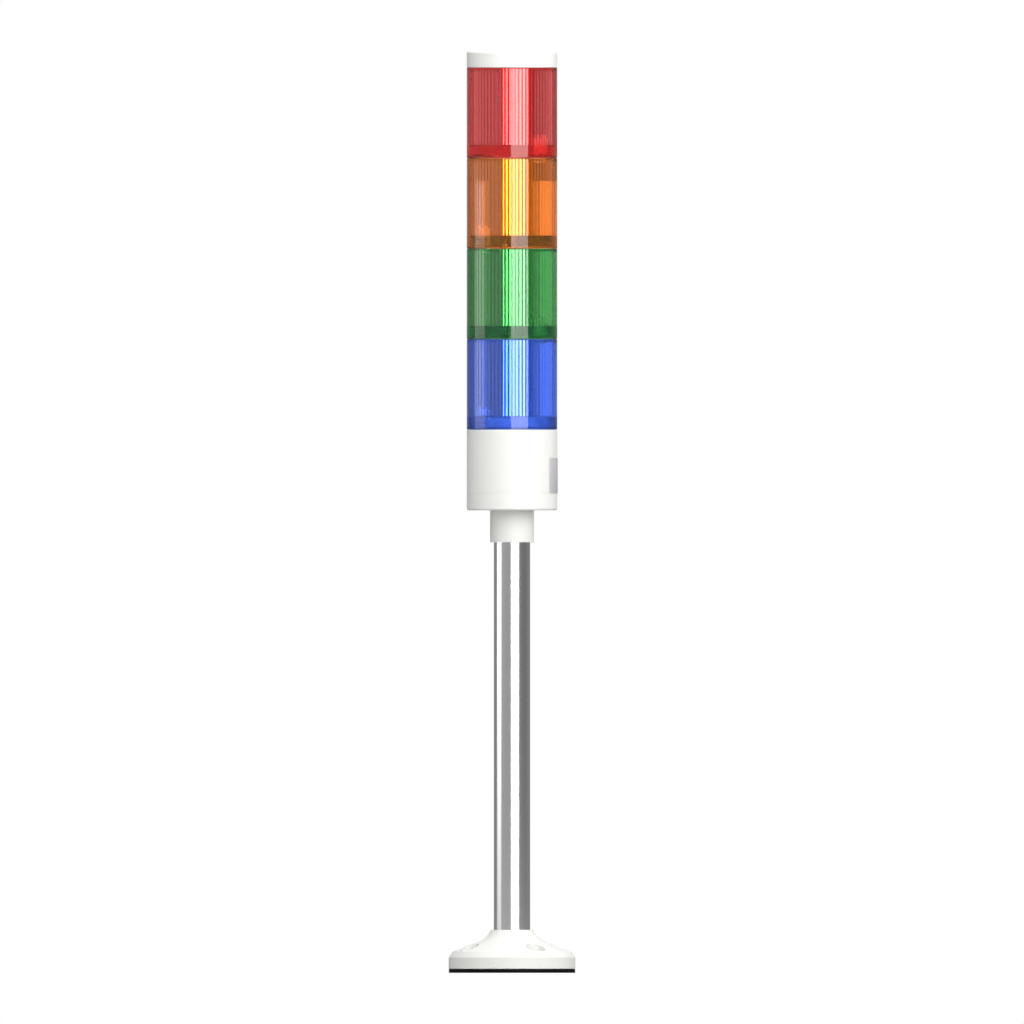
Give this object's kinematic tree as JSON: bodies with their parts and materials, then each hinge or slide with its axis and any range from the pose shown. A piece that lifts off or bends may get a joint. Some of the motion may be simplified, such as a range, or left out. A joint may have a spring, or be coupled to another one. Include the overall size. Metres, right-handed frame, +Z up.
{
  "type": "stack light",
  "caption": "Machine status tower light: stacked coloured lens tiers and a white cap on a round head, carried by a polished tube on a flared round mounting flange.",
  "frame": {"origin": "centre of the mounting gasket's underside, on the tube's axis", "axes": "+Z up along the tube, -Y to the front; the label is on the +X side of the head"},
  "size_m": [0.084, 0.084, 0.611],
  "materials": {
    "white_plastic": "smooth satin moulded",
    "polished_tube": "polished, drawn",
    "zinc_steel": "zinc plated",
    "black_rubber": "matte",
    "seal_rubber": "matte",
    "label_film": "satin film",
    "circuit_board": "white solder mask",
    "light_chip": "moulded resin",
    "contact_plastic": "moulded",
    "terminal_plastic": "moulded",
    "lens_blue_plastic": "clear tinted",
    "lens_green_plastic": "clear tinted",
    "lens_orange_plastic": "clear tinted",
    "lens_red_plastic": "clear tinted"
  },
  "bodies": {
    "base": {"base_gasket": "black_rubber", "mounting_flange": "white_plastic", "pole": "polished_tube", "pole_collar": "white_plastic", "base_washer": "zinc_steel", "base_clamp_bolt": "zinc_steel", "head_washer": "zinc_steel", "head_clamp_bolt": "zinc_steel", "bottom_cover": "white_plastic", "cover_seal": "seal_rubber", "cover_screws": "zinc_steel", "housing": "white_plastic", "label_plate": "label_film", "control_board": "circuit_board", "control_board_screws": "zinc_steel", "terminal_block": "terminal_plastic", "contact_post_supply": "contact_plastic", "tier_seal_blue": "seal_rubber", "light_board_blue": "circuit_board", "light_chips_blue": "light_chip", "plug_column_blue": "contact_plastic", "post_socket_blue": "contact_plastic", "contact_post_blue": "contact_plastic"},
    "blue_unit": {"lens_blue": "lens_blue_plastic", "tier_seal_green": "seal_rubber", "light_board_green": "circuit_board", "light_chips_green": "light_chip", "plug_column_green": "contact_plastic", "post_socket_green": "contact_plastic", "contact_post_green": "contact_plastic"},
    "green_unit": {"lens_green": "lens_green_plastic", "tier_seal_orange": "seal_rubber", "light_board_orange": "circuit_board", "light_chips_orange": "light_chip", "plug_column_orange": "contact_plastic", "post_socket_orange": "contact_plastic", "contact_post_orange": "contact_plastic"},
    "orange_unit": {"lens_orange": "lens_orange_plastic", "tier_seal_red": "seal_rubber", "light_board_red": "circuit_board", "light_chips_red": "light_chip", "plug_column_red": "contact_plastic", "post_socket_red": "contact_plastic"},
    "red_unit": {"lens_red": "lens_red_plastic", "tier_seal_cap": "seal_rubber"},
    "cap_unit": {"top_cap": "white_plastic"}
  },
  "joints": [
    {"name": "blue_twist", "type": "hinge", "parent": "base", "child": "blue_unit", "pos_m": [0, 0, 0.3602], "axis": [0, 0, 1], "range_deg": [0, 25]},
    {"name": "green_twist", "type": "hinge", "parent": "blue_unit", "child": "green_unit", "pos_m": [0, 0, 0.4202], "axis": [0, 0, 1], "range_deg": [0, 25]},
    {"name": "orange_twist", "type": "hinge", "parent": "green_unit", "child": "orange_unit", "pos_m": [0, 0, 0.4802], "axis": [0, 0, 1], "range_deg": [0, 25]},
    {"name": "red_twist", "type": "hinge", "parent": "orange_unit", "child": "red_unit", "pos_m": [0, 0, 0.5402], "axis": [0, 0, 1], "range_deg": [0, 25]},
    {"name": "cap_twist", "type": "hinge", "parent": "red_unit", "child": "cap_unit", "pos_m": [0, 0, 0.6002], "axis": [0, 0, 1], "range_deg": [0, 25]}
  ]
}
